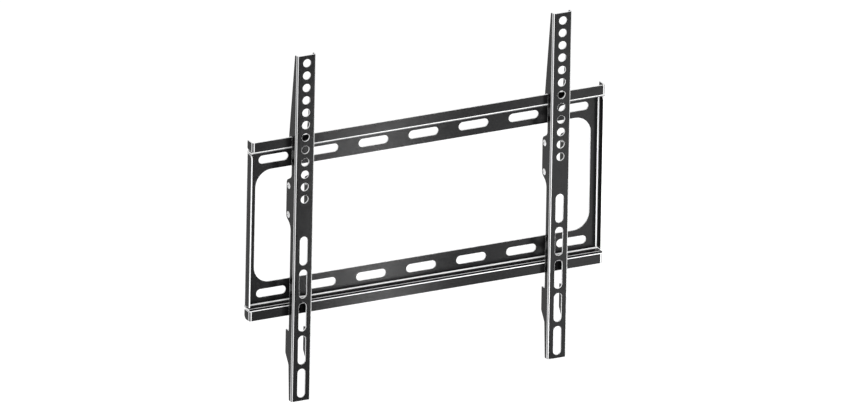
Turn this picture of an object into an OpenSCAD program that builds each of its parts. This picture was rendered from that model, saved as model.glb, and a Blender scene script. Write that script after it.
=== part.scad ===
// Low-profile wall mount for a flat screen: a stamped wall plate with two folded lips,
// and two channel brackets that hook over the upper lip and rest against the lower one.
// Frame: the wall face of the plate lies in Y = 0, the screen side faces -Y, Z is up.

/* [Sheet] */
// Thickness of the wall plate's sheet
plate_sheet = 1.5; // [1.2:0.1:2]
// Thickness of the brackets' sheet
bracket_sheet = 1.5; // [1.2:0.1:2]
// Inside radius of every bend
bend_r = 1; // [0.8:0.1:1.5]
// Gap left open between two folds that meet at a corner
fold_relief = 1.6; // [1.5:0.1:2.5]

/* [Wall plate] */
// Width over the side flanges
plate_w = 448; // [400:1:620]
// Height over the edges of the two lips
plate_h = 216; // [205:1:240]
// Depth from the wall to the front of the lips
plate_depth = 14.5; // [13:0.5:18]
// Height of each lip, measured from the inner face of its shelf
lip_h = 14.2; // [12:0.1:18]
// Height of the flat band between the window and each shelf
band_h = 25.8; // [20:0.1:32]
// Width of the flat strip left at each side of the window
window_side = 11.35; // [8:0.05:20]
// Corner radius of the window
window_r = 20; // [8:1:30]

/* [Side and end flanges] */
// Depth of the side flanges, from the wall to their front edge
side_depth = 12.5; // [8:0.5:12.5]
// Radius at the upper front corner of each side flange
side_corner_r = 4.5; // [2:0.5:5]
// Gap from the wall to the rear edge of the flanges folded back from the lip ends
end_gap = 1.5; // [1:0.1:3]
// Radius at the lower rear corner of the upper end flanges
end_corner_upper_r = 3; // [1:0.5:4]
// Radius at the lower rear corner of the lower end flanges
end_corner_lower_r = 5; // [1:0.5:6]

/* [Wall slots] */
// Overall length of each wall slot
wall_slot_l = 37.2; // [20:0.1:50]
// Width of each wall slot
wall_slot_w = 9.6; // [6:0.1:12]
// Pitch of the wall slots along a row
wall_slot_pitch = 63.5; // [55:0.5:68]
// Least flat metal left beyond the outermost slots
wall_slot_edge = 8; // [3:0.5:12]

/* [Brackets] */
// Distance from the middle of the plate to the middle of each bracket
bracket_x = 162.4; // [60:0.1:190]
// Length of each bracket
bracket_l = 418.5; // [395:0.5:470]
// Width of each bracket over its flanges
bracket_w = 24; // [20:0.5:32]
// Height of the brackets' upper end above the edge of the upper lip
bracket_rise = 101; // [95:0.5:115]
// Gap between the lips' front face and the bracket flange in front of it
hook_front_gap = 1; // [0.3:0.1:1.5]
// Gap between the upper lip's rear face and the hook finger
hook_rear_gap = 1; // [0.3:0.1:1.5]
// Depth of the channel from its front face to the flange edge that runs past the lips
channel_depth = 10.3; // [9:0.1:16]

/* [Bracket flange outline] */
// Depth of the flanges at the upper end
top_depth = 7; // [5:0.1:9]
// Width of the hook finger behind the upper lip
finger_w = 4; // [3:0.1:5]
// Length of the hook finger below the upper lip's edge
finger_l = 10; // [6:0.5:10]
// Radius at the tip of the hook finger
finger_r = 1.4; // [0.5:0.1:1.4]
// Height above the lip's edge at which the finger's straight rear edge starts
finger_start = 1.5; // [0:0.5:6]
// Gap from the wall to the rear edge of the middle tab
tab_gap = 3.9; // [3:0.1:6]
// Distance from the upper lip's edge down to the middle tab's upper corner
tab_drop = 55; // [45:0.5:62]
// Height of the middle tab between its two corners
tab_h = 44.5; // [40:0.5:50]
// Angle of the tab's shoulders from the vertical
shoulder_angle = 60; // [45:1:65]
// Radius of the tab's corners and of its upper shoulder
tab_r = 6; // [3:0.5:6]
// Radius of the tab's long lower shoulder
shoulder_r = 12; // [6:0.5:12]
// Distance from the lower lip's edge down to the ledge of the foot
foot_drop = 18; // [5:0.5:22]
// Height of the foot's straight rear edge
foot_h = 29; // [20:0.5:35]
// Gap from the wall to the foot's rear edge
foot_gap = 8; // [5:0.5:10]
// Height of the slope under the foot
foot_slope = 12; // [8:0.5:16]
// Radius of the foot's slope at both ends
foot_r = 5; // [3:0.5:6]
// Depth of the flanges just under the foot
shin_depth = 9.5; // [8:0.1:10]
// Depth of the flanges at the lower end
bottom_depth = 7; // [5:0.1:8]
// Radius at the outer corners of the flange outline
flange_corner_r = 1.5; // [0.5:0.1:2]

/* [Screen holes] */
// Diameter of the round screen holes
hole_d = 9.5; // [5:0.1:11]
// Pitch of the round holes
hole_pitch = 15; // [13:0.5:16]
// Number of round holes in each bracket
hole_count = 12; // [4:1:12]
// Distance from the bracket's upper end to its first round hole
hole_start = 9.5; // [8:0.5:14]
// Overall length of each upright slot
slot_l = 34.4; // [20:0.1:36]
// Width of each upright slot
slot_w = 9.6; // [6:0.1:11]
// Pitch of the upright slots
slot_pitch = 40; // [38:0.5:42]
// Least metal left below the lowest upright slot
slot_edge = 4; // [3:0.5:10]
// Distance from the last round hole to the first upright slot
slot_start = 62.5; // [40:0.5:65]

/* [Rivets] */
// Diameter of the rivets' domed heads
rivet_head_d = 7.6; // [6:0.1:9]
// Height of the domed heads
rivet_head_h = 1.4; // [1:0.1:2]
// Diameter of the rivets' shanks
rivet_shank_d = 4; // [3:0.1:4.5]
// Diameter of the set tails inside the channel
rivet_tail_d = 5.2; // [5:0.1:7]
// Height of the set tails
rivet_tail_h = 1; // [0.6:0.1:1.5]
// Diameter of the small bore in each head
rivet_bore_d = 2; // [1:0.1:2.6]
// Depth of the small bore in each head
rivet_bore_h = 0.9; // [0.5:0.1:1]
// Distance from the tab's rear edge to the rivets' axis
rivet_inset = 5.6; // [4.5:0.1:8]
// Distance from the tab's upper corner down to the upper rivet
rivet_drop = 5.5; // [4:0.5:8]
// Distance between the two rivets of a flange
rivet_pitch = 35; // [25:0.5:36]
// Radial clearance of the shanks in their holes
rivet_clearance = 0.05; // [0.02:0.01:0.1]

/* [Hidden] */
$fn = 64;
cut = 1; // how far a cutting solid runs past the face it cuts
overlap = 0.2; // how far the sliver at a rounded corner runs past both edges

// Wall plate, worked out from the sizes above
half_w = plate_w / 2;
half_h = plate_h / 2;
plate_bend = bend_r + plate_sheet;
shelf_z = half_h - lip_h;
flat_x = half_w - plate_bend;
window_x = half_w - window_side;
window_z = shelf_z - band_h;
wall_row_z = window_z + band_h / 2;
wall_slot_side = floor((flat_x - wall_slot_edge - wall_slot_l / 2) / wall_slot_pitch);
side_z = shelf_z - fold_relief;
end_z = shelf_z + plate_sheet + fold_relief;

// Brackets, worked out from the lips they hang on
bracket_bend = bend_r + bracket_sheet;
flange_x = bracket_w / 2 - bracket_sheet;
run_y = -plate_depth - hook_front_gap;
front_y = run_y - channel_depth;
finger_front_y = -plate_depth + plate_sheet + hook_rear_gap;
finger_rear_y = finger_front_y + finger_w;
bracket_top = half_h + bracket_rise;
bracket_low = bracket_top - bracket_l;
tab_top = half_h - tab_drop;
tab_bottom = tab_top - tab_h;
ledge_z = -half_h - foot_drop;
foot_low = ledge_z - foot_h;
slope_step = (-tab_gap - run_y) / tan(shoulder_angle);
hole_z = bracket_top - hole_start;
last_hole_z = hole_z - (hole_count - 1) * hole_pitch;
slot_z = last_hole_z - slot_start;
slot_last = floor((slot_z - slot_l / 2 - slot_edge - bracket_low) / slot_pitch);

// Rivets, worked out from the tab they sit in
rivet_y = -tab_gap - rivet_inset;
rivet_z = [tab_top - rivet_drop, tab_top - rivet_drop - rivet_pitch];
dome_r = (pow(rivet_head_d / 2, 2) + pow(rivet_head_h, 2)) / (2 * rivet_head_h);

// Rear edge of a bracket flange, from the upper end down to the lower one, then up the front:
// each point is [y, z, corner radius]
function flange_outline() = [
    [front_y + bracket_bend, bracket_top, 0],
    [front_y + top_depth, bracket_top, flange_corner_r],
    [finger_rear_y, half_h + finger_start, 0],
    [finger_rear_y, half_h - finger_l, finger_r],
    [finger_front_y, half_h - finger_l, finger_r],
    [finger_front_y, half_h, 0],
    [run_y, half_h, 0],
    [run_y, tab_top + slope_step, tab_r],
    [-tab_gap, tab_top, tab_r],
    [-tab_gap, tab_bottom, tab_r],
    [run_y, tab_bottom - slope_step, shoulder_r],
    [run_y, ledge_z, 0],
    [-foot_gap, ledge_z, flange_corner_r],
    [-foot_gap, foot_low, foot_r],
    [front_y + shin_depth, foot_low - foot_slope, foot_r],
    [front_y + bottom_depth, bracket_low, flange_corner_r],
    [front_y + bracket_bend, bracket_low, 0]
];

// Corner k of an outline, with the points before and after it
function before(pts, k) = pts[(k + len(pts) - 1) % len(pts)];
function after(pts, k) = pts[(k + 1) % len(pts)];
function flat(p) = [p[0], p[1]];
function unit(v) = v / norm(v);
function past(c, p) = p + unit(p - c) * overlap;
function turn(a, p, b) = (p[0] - a[0]) * (b[1] - p[1]) - (p[1] - a[1]) * (b[0] - p[0]);

// Sliver between a sharp corner and the arc that rounds it
module corner_sliver(a, p, b, r) {
    u = unit(a - p);
    v = unit(b - p);
    half = acos(u * v) / 2;
    reach = r / tan(half);
    centre = p + unit(u + v) * r / sin(half);
    difference() {
        polygon([
            centre,
            past(centre, p + u * reach),
            p - unit(u + v) * overlap / sin(half),
            past(centre, p + v * reach)
        ]);
        translate(centre) circle(r);
    }
}

// Outline with its own radius at every corner, listed clockwise
module soft_outline(pts) {
    difference() {
        union() {
            polygon([for (p = pts) flat(p)]);
            for (k = [0:len(pts) - 1])
                if (pts[k][2] > 0 && turn(before(pts, k), pts[k], after(pts, k)) > 0)
                    corner_sliver(flat(before(pts, k)), flat(pts[k]), flat(after(pts, k)), pts[k][2]);
        }
        for (k = [0:len(pts) - 1])
            if (pts[k][2] > 0 && turn(before(pts, k), pts[k], after(pts, k)) < 0)
                corner_sliver(flat(before(pts, k)), flat(pts[k]), flat(after(pts, k)), pts[k][2]);
    }
}

// Slot outline, lengthwise along X
module slot_shape(length, width) {
    square([length - width, width], center = true);
    for (s = [-1, 1]) translate([s * (length - width) / 2, 0]) circle(d = width);
}

// Flat shape drawn in X and Z, standing in Y from y0 with thickness t
module upright(y0, t) {
    translate([0, y0 + t, 0]) rotate([90, 0, 0]) linear_extrude(t) children();
}

// Flat shape drawn in Y and Z, standing in X from x0 with thickness t
module sideways(x0, t) {
    translate([x0, 0, 0]) rotate([90, 0, 90]) linear_extrude(t) children();
}

// Quarter ring of a bend, filling the corner towards +X and +Y, drawn round the bend's centre
module bend_shape(sheet) {
    difference() {
        intersection() {
            circle(bend_r + sheet);
            square(bend_r + sheet);
        }
        circle(bend_r);
    }
}

// Face sheet between the folds, with its window and its two rows of slots
module face_sheet() {
    upright(-plate_sheet, plate_sheet) difference() {
        square([2 * flat_x, 2 * (shelf_z - bend_r)], center = true);
        square([2 * (window_x - window_r), 2 * window_z], center = true);
        square([2 * window_x, 2 * (window_z - window_r)], center = true);
        for (sx = [-1, 1], sz = [-1, 1])
            translate([sx * (window_x - window_r), sz * (window_z - window_r)]) circle(window_r);
        for (k = [-wall_slot_side:wall_slot_side], sz = [-1, 1])
            translate([k * wall_slot_pitch, sz * wall_row_z]) slot_shape(wall_slot_l, wall_slot_w);
    }
}

// Shelf that carries the upper lip, with the bend at each of its edges
module shelf() {
    sideways(-half_w, plate_w) {
        translate([-plate_bend, shelf_z - bend_r]) bend_shape(plate_sheet);
        translate([plate_bend - plate_depth, shelf_z]) square([plate_depth - 2 * plate_bend, plate_sheet]);
        translate([plate_bend - plate_depth, shelf_z + plate_bend]) rotate(180) bend_shape(plate_sheet);
    }
}

// Flange folded back from one end of the upper lip, with its bend
module end_flange(corner_r) {
    translate([0, 0, end_z]) linear_extrude(half_h - end_z)
        translate([flat_x, plate_bend - plate_depth]) rotate(-90) bend_shape(plate_sheet);
    sideways(half_w - plate_sheet, plate_sheet) soft_outline([
        [plate_bend - plate_depth, half_h, 0],
        [-end_gap, half_h, corner_r[1]],
        [-end_gap, end_z, corner_r[0]],
        [plate_bend - plate_depth, end_z, 0]
    ]);
}

// Upper lip with its shelf and end flanges: corner_r holds the radii of the end
// flanges' rear corners, nearest the shelf first
module lip(corner_r) {
    shelf();
    translate([-flat_x, -plate_depth, shelf_z + plate_bend])
        cube([2 * flat_x, plate_sheet, half_h - shelf_z - plate_bend]);
    end_flange(corner_r);
    mirror([1, 0, 0]) end_flange(corner_r);
}

// Side flange of the face sheet at +X, with its bend
module side_flange() {
    translate([0, 0, -side_z]) linear_extrude(2 * side_z)
        translate([flat_x, -plate_bend]) bend_shape(plate_sheet);
    sideways(half_w - plate_sheet, plate_sheet) soft_outline([
        [-side_depth, side_z, side_corner_r],
        [-plate_bend, side_z, 0],
        [-plate_bend, -side_z, 0],
        [-side_depth, -side_z, 0]
    ]);
}

// Wall plate, folded from one sheet
module wall_plate() {
    color([0.13, 0.13, 0.14]) union() {
        face_sheet();
        lip([end_corner_upper_r, 0]);
        mirror([0, 0, 1]) lip([0, end_corner_lower_r]);
        side_flange();
        mirror([1, 0, 0]) side_flange();
    }
}

// Front face of a bracket, with its round holes and its upright slots
module bracket_face() {
    translate([0, 0, bracket_top]) upright(front_y, bracket_sheet) difference() {
        translate([bracket_bend - bracket_w / 2, -bracket_l])
            square([bracket_w - 2 * bracket_bend, bracket_l]);
        for (k = [0:hole_count - 1])
            translate([0, -hole_start - k * hole_pitch]) circle(d = hole_d);
        for (k = [0:slot_last])
            translate([0, slot_z - bracket_top - k * slot_pitch]) rotate(90) slot_shape(slot_l, slot_w);
    }
}

// Flange of a bracket at +X, with its bend and its two rivet holes
module bracket_flange() {
    translate([0, 0, bracket_low]) linear_extrude(bracket_l)
        translate([bracket_w / 2 - bracket_bend, front_y + bracket_bend])
            rotate(-90) bend_shape(bracket_sheet);
    difference() {
        sideways(flange_x, bracket_sheet) soft_outline(flange_outline());
        for (z = rivet_z)
            translate([flange_x - cut, rivet_y, z]) rotate([0, 90, 0])
                cylinder(r = rivet_shank_d / 2 + rivet_clearance, h = bracket_sheet + 2 * cut);
    }
}

// Channel bracket, folded from one strip
module bracket() {
    color([0.13, 0.13, 0.14]) union() {
        bracket_face();
        bracket_flange();
        mirror([1, 0, 0]) bracket_flange();
    }
}

module bracket_left() {
    translate([-bracket_x, 0, 0]) bracket();
}

module bracket_right() {
    translate([bracket_x, 0, 0]) bracket();
}

// Rivet set through a flange: the head lies on X = 0 and faces +X
module rivet() {
    color([0.86, 0.87, 0.89]) rotate([0, 90, 0]) difference() {
        union() {
            intersection() {
                translate([0, 0, rivet_head_h - dome_r]) sphere(dome_r);
                cylinder(d = rivet_head_d, h = rivet_head_h);
            }
            translate([0, 0, -bracket_sheet]) cylinder(d = rivet_shank_d, h = bracket_sheet);
            translate([0, 0, -bracket_sheet - rivet_tail_h]) cylinder(d = rivet_tail_d, h = rivet_tail_h);
        }
        translate([0, 0, rivet_head_h - rivet_bore_h]) cylinder(d = rivet_bore_d, h = rivet_bore_h + cut);
    }
}

// Rivet in a bracket's flange: side is -1 for the left bracket and 1 for the right one,
// face is -1 for a left flange and 1 for a right one, row is 0 for the upper rivet
module placed_rivet(side, face, row) {
    translate([side * bracket_x, rivet_y, rivet_z[row]])
        mirror([face < 0 ? 1 : 0, 0, 0]) translate([bracket_w / 2, 0, 0]) rivet();
}

module rivet_left_outer_upper() { placed_rivet(-1, -1, 0); }
module rivet_left_outer_lower() { placed_rivet(-1, -1, 1); }
module rivet_left_inner_upper() { placed_rivet(-1, 1, 0); }
module rivet_left_inner_lower() { placed_rivet(-1, 1, 1); }
module rivet_right_outer_upper() { placed_rivet(1, 1, 0); }
module rivet_right_outer_lower() { placed_rivet(1, 1, 1); }
module rivet_right_inner_upper() { placed_rivet(1, -1, 0); }
module rivet_right_inner_lower() { placed_rivet(1, -1, 1); }

wall_plate();
bracket_left();
bracket_right();
rivet_left_outer_upper();
rivet_left_outer_lower();
rivet_left_inner_upper();
rivet_left_inner_lower();
rivet_right_outer_upper();
rivet_right_outer_lower();
rivet_right_inner_upper();
rivet_right_inner_lower();
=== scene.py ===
import math
import bpy
import bmesh
from mathutils import Vector, Matrix, Quaternion
from mathutils.bvhtree import BVHTree


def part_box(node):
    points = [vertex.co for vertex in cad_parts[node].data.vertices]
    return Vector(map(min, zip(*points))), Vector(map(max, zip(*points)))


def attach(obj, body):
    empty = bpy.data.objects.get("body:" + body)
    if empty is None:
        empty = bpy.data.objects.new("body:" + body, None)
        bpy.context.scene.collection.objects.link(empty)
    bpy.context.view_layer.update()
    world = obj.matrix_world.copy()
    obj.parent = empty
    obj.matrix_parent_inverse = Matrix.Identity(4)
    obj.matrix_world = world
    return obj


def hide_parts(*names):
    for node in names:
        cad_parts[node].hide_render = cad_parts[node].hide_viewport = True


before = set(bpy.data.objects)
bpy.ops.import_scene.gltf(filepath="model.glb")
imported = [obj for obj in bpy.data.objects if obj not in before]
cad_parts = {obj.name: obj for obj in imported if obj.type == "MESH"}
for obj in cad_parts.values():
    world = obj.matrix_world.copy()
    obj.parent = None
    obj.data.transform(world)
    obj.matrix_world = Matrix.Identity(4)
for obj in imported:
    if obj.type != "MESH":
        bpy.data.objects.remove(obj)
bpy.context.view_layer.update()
MM = 0.001


# Camera.
# The photograph is a parallel projection, seen from the left, the front and above, and turned by about one degree
# in its own plane.
AZ, EL, ROLL = math.radians(27.4), math.radians(21.0), math.radians(1.045)
PX_MM = 0.88445
PHOTO_WIDTH = 854
# the point at the middle of the picture, counted from the middle of the plate's front face
PLATE_FRONT_Y = -1.5 * MM
AIM_RIGHT, AIM_UP = 5.488 * MM, -6.08 * MM
CAMERA_AWAY = 1.6

look = Vector((math.sin(AZ) * math.cos(EL), math.cos(AZ) * math.cos(EL), -math.sin(EL)))
right = Vector((math.cos(AZ), -math.sin(AZ), 0))
up = right.cross(look)
cam_data = bpy.data.cameras.new("camera")
cam_data.type = "ORTHO"
cam_data.ortho_scale = PHOTO_WIDTH / PX_MM * MM
cam_data.clip_start, cam_data.clip_end = 0.01, 50
cam = bpy.data.objects.new("camera", cam_data)
bpy.context.scene.collection.objects.link(cam)
aim = Vector((0, PLATE_FRONT_Y, 0)) + right * AIM_RIGHT + up * AIM_UP
basis = Matrix((right, up, -look)).transposed().to_quaternion()
cam.rotation_mode = "QUATERNION"
cam.rotation_quaternion = basis @ Quaternion((0, 0, 1), ROLL)
cam.location = aim - look * CAMERA_AWAY
bpy.context.scene.camera = cam


# Materials.
class Nodes:
    """Short hand for a procedural material in object coordinates."""

    def __init__(self, name):
        self.mat = bpy.data.materials.new(name)
        self.mat.use_nodes = True
        self.tree = self.mat.node_tree
        self.shader = self.tree.nodes["Principled BSDF"]
        self.coords = self.add("ShaderNodeTexCoord").outputs["Object"]

    def add(self, kind):
        return self.tree.nodes.new(kind)

    def link(self, a, b):
        self.tree.links.new(a, b)

    def sums(self, kind, *values):
        """One step of arithmetic on numbers or sockets."""
        node = self.add("ShaderNodeMath")
        node.operation = kind
        for socket, value in zip(node.inputs, values):
            if isinstance(value, (int, float)):
                socket.default_value = value
            else:
                self.link(value, socket)
        return node.outputs[0]

    def noise(self, scale, detail=2.0, stretch=None):
        node = self.add("ShaderNodeTexNoise")
        node.inputs["Scale"].default_value = scale
        node.inputs["Detail"].default_value = detail
        source = self.coords
        if stretch:
            mapping = self.add("ShaderNodeMapping")
            mapping.inputs["Scale"].default_value = stretch
            self.link(source, mapping.inputs["Vector"])
            source = mapping.outputs["Vector"]
        self.link(source, node.inputs["Vector"])
        return node.outputs["Fac"]

    def span(self, source, low, high, to_low, to_high):
        node = self.add("ShaderNodeMapRange")
        for key, value in zip(("From Min", "From Max", "To Min", "To Max"), (low, high, to_low, to_high)):
            node.inputs[key].default_value = value
        self.link(source, node.inputs["Value"])
        return node.outputs["Result"]

    def mix(self, factor, a, b):
        node = self.add("ShaderNodeMix")
        node.data_type = "RGBA"
        self.link(factor, node.inputs["Factor"])
        # sockets 6 and 7 and output 2 are the colour ones
        for socket, value in ((node.inputs[6], a), (node.inputs[7], b)):
            if isinstance(value, tuple):
                socket.default_value = (*value, 1)
            else:
                self.link(value, socket)
        return node.outputs[2]

    def bump(self, height, strength, distance, before=None):
        node = self.add("ShaderNodeBump")
        node.inputs["Strength"].default_value = strength
        node.inputs["Distance"].default_value = distance
        self.link(height, node.inputs["Height"])
        if before:
            self.link(before, node.inputs["Normal"])
        return node.outputs["Normal"]

    def set(self, **sockets):
        for key, value in sockets.items():
            socket = self.shader.inputs[key.replace("_", " ")]
            if isinstance(value, (int, float)):
                socket.default_value = value
            else:
                self.link(value, socket)


def powder_coat():
    """Near-black coat with slow changes of tone, pale flecks and a fine grain."""
    m = Nodes("black_powder_coat")
    patches = m.span(m.noise(9, 2), 0.3, 0.7, 0, 1)
    base = m.mix(patches, (0.0052, 0.0052, 0.0056), (0.0085, 0.0085, 0.0090))
    fleck = m.span(m.noise(1500, 1), 0.60, 0.70, 0, 0.22)
    grain = m.bump(m.noise(820, 3), 0.6, 0.20 * MM)
    m.set(Base_Color=m.mix(fleck, base, (0.050, 0.050, 0.053)),
          Roughness=m.span(m.noise(60, 2), 0.3, 0.7, 0.20, 0.25),
          Specular_IOR_Level=0.09,
          Normal=m.bump(m.noise(260, 1), 0.25, 0.15 * MM, grain))
    return m.mat


def painted_edge_highlight():
    """Painted highlight: near-white steel colour where the sheet was cut and along the ends of its bends, standing
    in for the glints there.
    """
    m = Nodes("painted_edge_highlight")
    drawn = m.noise(160, 2, (1, 1, 0.08))
    highlight_tone = m.span(m.noise(30, 3), 0.35, 0.65, 0, 1)
    m.set(Base_Color=m.mix(highlight_tone, (0.84, 0.84, 0.85), (0.93, 0.93, 0.93)),
          Roughness=m.span(drawn, 0.3, 0.7, 0.35, 0.5),
          Specular_IOR_Level=0.5,
          Normal=m.bump(drawn, 0.15, 0.03 * MM))
    return m.mat


def painted_bend_sheen():
    """Painted sheen: lighter grey on the middle of a bend, given to bends that face down because of how the light
    falls on them.
    """
    m = Nodes("painted_bend_sheen")
    highlight_tone = m.span(m.noise(40, 3, (1, 1, 0.25)), 0.3, 0.7, 0, 1)
    m.set(Base_Color=m.mix(highlight_tone, (0.13, 0.13, 0.133), (0.20, 0.20, 0.204)),
          Roughness=m.span(m.noise(60, 2), 0.3, 0.7, 0.35, 0.45),
          Specular_IOR_Level=0.4,
          Normal=m.bump(m.noise(1900, 3), 0.3, 0.05 * MM))
    return m.mat


# where the rivets' axes are, on the side view, and how far apart the upper and lower ones are
RIVET_Y, RIVET_Z, RIVET_PITCH = -9.5 * MM, 12.5 * MM, 35 * MM
# grey level at a distance from the axis, in millimetres: bore, painted near-black as its shade, head, turned ring,
# head, rim
RIVET_RINGS = ((0, 0.02), (0.96, 0.03), (1.08, 0.90), (2.0, 0.88), (2.15, 0.40), (2.4, 0.42), (2.55, 0.90),
               (3.4, 0.92), (3.7, 0.55))
RIVET_REACH = 4


def rivet_metal():
    """Bright heads with painted shade, near-black, in the bore and a faint turned ring, set out round each rivet's
    own axis.
    """
    m = Nodes("rivet_metal")
    split = m.add("ShaderNodeSeparateXYZ")
    m.link(m.coords, split.inputs[0])
    y = m.sums("SUBTRACT", split.outputs["Y"], RIVET_Y)
    z = m.sums("SUBTRACT", split.outputs["Z"], RIVET_Z)
    z = m.sums("WRAP", z, RIVET_PITCH / 2, -RIVET_PITCH / 2)
    away = m.sums("SQRT", m.sums("ADD", m.sums("MULTIPLY", y, y), m.sums("MULTIPLY", z, z)))
    ramp = m.add("ShaderNodeValToRGB")
    bar = ramp.color_ramp.elements
    while len(bar) < len(RIVET_RINGS):
        bar.new(0.5)
    for point, (radius, level) in zip(bar, RIVET_RINGS):
        point.position = radius / RIVET_REACH
        point.color = (level, level, level * 1.01, 1)
    m.link(m.span(away, 0, RIVET_REACH * MM, 0, 1), ramp.inputs["Fac"])
    spun = m.noise(900, 3)
    scuffs = m.span(spun, 0.3, 0.7, 0, 0.12)
    m.set(Base_Color=m.mix(scuffs, ramp.outputs["Color"], (0.6, 0.6, 0.6)),
          Roughness=m.span(m.noise(300, 2), 0.3, 0.7, 0.32, 0.45),
          Metallic=0.3,
          Normal=m.bump(spun, 0.2, 0.03 * MM))
    return m.mat


COAT, EDGE, BEND_SHEEN, RIVET = powder_coat(), painted_edge_highlight(), painted_bend_sheen(), rivet_metal()


# Sheet-metal pieces.
# Each stands for its CAD solid and has the same faces. Its cut edges carry a painted highlight, with a narrow
# painted highlight rim on the faces beside them, and each bend has a painted highlight line near its start and at
# its end; the middle of a bend that faces down carries a painted sheen.
SHEET = {"wall_plate": 1.5 * MM, "bracket_left": 1.5 * MM, "bracket_right": 1.5 * MM}
# metal deeper than the sheet by this factor, seen from a face, means that the face is a cut one
CUT_DEPTH = 1.15
RAY_START, RAY_REACH = 0.01 * MM, 50 * MM
WELD = 0.005 * MM
# width of the painted highlight rim on faces that look along each axis
RIM = {"x": 0.3 * MM, "y": 0.17 * MM, "z": 0.25 * MM}
EDGE_ROUND = 0.12 * MM
EDGE_ANGLE, SHADE_ANGLE, FLAT_ANGLE = math.radians(35), math.radians(50), math.radians(0.4)
PLANE_STEP = 0.05 * MM
# each quarter bend has eleven facets, and those of a tight inner bend are narrower than this
FACET = 90 / 11
INNER_FACET = 0.25 * MM
LINE_FACETS = 2
# the brackets' coat reaches round the start of the bend, so their painted highlight line begins three facets in
COAT_FACETS = {"wall_plate": 0, "bracket_left": 3, "bracket_right": 3}
# slots: the coat, the painted highlight on edges and bend lines, and the painted sheen on bends that face down
COATED, PAINTED_HIGHLIGHT, PAINTED_SHEEN = 0, 1, 2


def depth_behind(tree, face):
    """Depth of the metal behind a face."""
    n = face.normal
    hit = tree.ray_cast(face.calc_center_median() - n * RAY_START, -n, RAY_REACH)
    return math.inf if hit[3] is None else hit[3]


def off_axis(n):
    """Degrees between a normal and the nearest axis."""
    return math.degrees(math.acos(min(1.0, max(abs(n.x), abs(n.y), abs(n.z)))))


def off_front(n):
    """Degrees between a normal and the way the mount faces."""
    return math.degrees(math.acos(max(-1.0, min(1.0, -n.y))))


def finish_or_painted_light_of(tree, face, node):
    if depth_behind(tree, face) > SHEET[node] * CUT_DEPTH:
        return PAINTED_HIGHLIGHT
    tilt = off_axis(face.normal)
    if tilt < 1:
        return COATED
    # a facet of a bend: a tight inner bend carries the painted highlight right across
    width = 2 * face.calc_area() / max(e.calc_length() for e in face.edges)
    if width < INNER_FACET:
        return PAINTED_HIGHLIGHT
    coat = COAT_FACETS[node]
    turned = off_front(face.normal)
    if turned < FACET * coat:
        return COATED
    if tilt < FACET * LINE_FACETS or coat and turned < FACET * (coat + LINE_FACETS):
        return PAINTED_HIGHLIGHT
    # the middle of a bend that faces down gets the painted sheen, lighter because of how the light falls; one
    # facing up keeps the dark coat
    return PAINTED_SHEEN if face.normal.z < 0.01 else COATED


def flat_groups(bm):
    """The coated flat faces, grouped by the plane they lie in."""
    groups = {}
    for face in bm.faces:
        if face.material_index == COATED and off_axis(face.normal) < 1:
            n = face.normal
            axis = "xyz"[max(range(3), key=lambda i: abs(n[i]))]
            key = (axis, round(face.calc_center_median().dot(n) / PLANE_STEP))
            groups.setdefault(key, []).append(face)
    return groups


def painted_highlight_rims(bm):
    """Sets a painted highlight rim on each flat face, but not where the coat runs on round a bend."""
    for (axis, _), faces in sorted(flat_groups(bm).items()):
        rim = bmesh.ops.inset_region(bm, faces=faces, thickness=RIM[axis], use_boundary=True,
                                     use_even_offset=True)
        for face in rim["faces"]:
            beside = [f for edge in face.edges for f in edge.link_faces if off_axis(f.normal) > 1]
            coated = any(f.material_index == COATED for f in beside)
            face.material_index = COATED if coated else PAINTED_HIGHLIGHT


def sheet_piece(node):
    mesh = bpy.data.meshes.new(node + "_finished")
    bm = bmesh.new()
    bm.from_mesh(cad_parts[node].data)
    bmesh.ops.remove_doubles(bm, verts=bm.verts, dist=WELD)
    bm.normal_update()
    tree = BVHTree.FromBMesh(bm)
    # each face gets the coat, the painted highlight or the painted sheen
    for face in bm.faces:
        face.material_index = finish_or_painted_light_of(tree, face, node)
    bmesh.ops.dissolve_limit(bm, angle_limit=FLAT_ANGLE, verts=bm.verts, edges=bm.edges, delimit={"MATERIAL"})
    bm.normal_update()
    painted_highlight_rims(bm)
    sharp = [e for e in bm.edges if len(e.link_faces) == 2 and e.calc_face_angle() > EDGE_ANGLE]
    # the rounded sharp edges carry the painted highlight
    bmesh.ops.bevel(bm, geom=sharp, offset=EDGE_ROUND, offset_type="OFFSET", segments=2, profile=0.5,
                    affect="EDGES", clamp_overlap=False, material=PAINTED_HIGHLIGHT, loop_slide=False)
    # the rounding leaves corners a hundredth of a millimetre outside the solid's box
    low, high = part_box(node)
    for vert in bm.verts:
        vert.co = [min(max(c, a), b) for c, a, b in zip(vert.co, low, high)]
    for face in bm.faces:
        face.smooth = True
    bm.to_mesh(mesh)
    bm.free()
    mesh.set_sharp_from_angle(angle=SHADE_ANGLE)
    for material in (COAT, EDGE, BEND_SHEEN):
        mesh.materials.append(material)
    piece = bpy.data.objects.new(node + "_finished", mesh)
    bpy.context.scene.collection.objects.link(piece)
    weight = piece.modifiers.new("weighted", "WEIGHTED_NORMAL")
    weight.keep_sharp = True
    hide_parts(node)
    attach(piece, "root")


for name in SHEET:
    sheet_piece(name)

for name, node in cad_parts.items():
    if name.startswith("rivet_"):
        for slot in node.material_slots:
            slot.material = RIVET


# Floor, lamps and background.
FLOOR_Z, FLOOR_HALF = -0.55, 6
FLOOR_GLOW = 0.35


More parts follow.
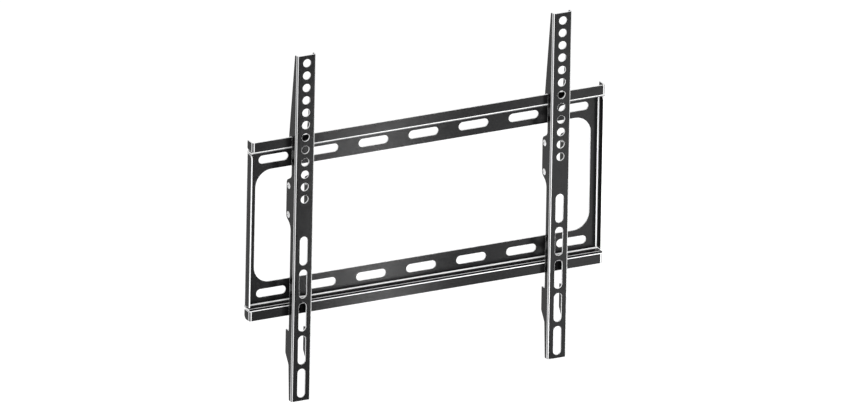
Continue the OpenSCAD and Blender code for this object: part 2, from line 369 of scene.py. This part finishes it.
def white_floor():
    """A pale floor that the camera and polished metal see as white, less the object's shadow."""
    m = Nodes("floor")
    pale = (0.90, 0.90, 0.90)
    path = m.add("ShaderNodeLightPath")
    seen = m.sums("MAXIMUM", path.outputs["Is Camera Ray"], path.outputs["Is Glossy Ray"])
    seen = m.sums("MAXIMUM", seen, path.outputs["Is Transmission Ray"])
    m.set(Base_Color=m.mix(m.noise(3, 1), pale, tuple(c * 0.985 for c in pale)),
          Roughness=0.8,
          Specular_IOR_Level=0.1,
          Emission_Strength=m.span(seen, 0, 1, 0, FLOOR_GLOW))
    m.shader.inputs["Emission Color"].default_value = (1, 1, 1, 1)
    return m.mat


floor_mesh = bpy.data.meshes.new("floor")
floor_bm = bmesh.new()
bmesh.ops.create_grid(floor_bm, x_segments=8, y_segments=8, size=FLOOR_HALF)
floor_bm.to_mesh(floor_mesh)
floor_bm.free()
floor_mesh.materials.append(white_floor())
floor = bpy.data.objects.new("floor", floor_mesh)
floor.location = (0, 0, FLOOR_Z)
bpy.context.scene.collection.objects.link(floor)


def lamp(name, place, target, size, power):
    data = bpy.data.lights.new(name, "AREA")
    data.shape = "RECTANGLE"
    data.size, data.size_y = size
    data.energy = power
    ob = bpy.data.objects.new(name, data)
    ob.location = place
    ob.rotation_mode = "QUATERNION"
    ob.rotation_quaternion = (Vector(target) - Vector(place)).to_track_quat("-Z", "Y")
    ob.visible_camera = False
    bpy.context.scene.collection.objects.link(ob)


# the two narrow lamps give the upright bands of light on the plate
lamp("key", (-1.0, -2.0, 1.6), (0, 0, 0), (1.4, 1.4), 20)
lamp("strip", (0.15, -0.42, -0.17), (-0.05, 0, 0), (0.06, 0.30), 1.4)
lamp("side", (0.42, -0.46, -0.17), (0.20, 0, 0), (0.12, 0.40), 0.8)

# the world is white to the camera and in reflections, and lights the object at a lower level
WORLD_LIGHT, WORLD_SEEN = 0.75, 1.0
world = bpy.data.worlds.new("world")
world.use_nodes = True
bpy.context.scene.world = world
sky = world.node_tree
back = sky.nodes["Background"]
back.inputs["Color"].default_value = (1, 1, 1, 1)
path = sky.nodes.new("ShaderNodeLightPath")
seen = path.outputs["Is Camera Ray"]
for ray in ("Is Glossy Ray", "Is Transmission Ray"):
    either = sky.nodes.new("ShaderNodeMath")
    either.operation = "MAXIMUM"
    sky.links.new(seen, either.inputs[0])
    sky.links.new(path.outputs[ray], either.inputs[1])
    seen = either.outputs[0]
level = sky.nodes.new("ShaderNodeMapRange")
level.inputs["To Min"].default_value = WORLD_LIGHT
level.inputs["To Max"].default_value = WORLD_SEEN
sky.links.new(seen, level.inputs["Value"])
sky.links.new(level.outputs["Result"], back.inputs["Strength"])

bpy.context.scene.view_settings.view_transform = "Standard"
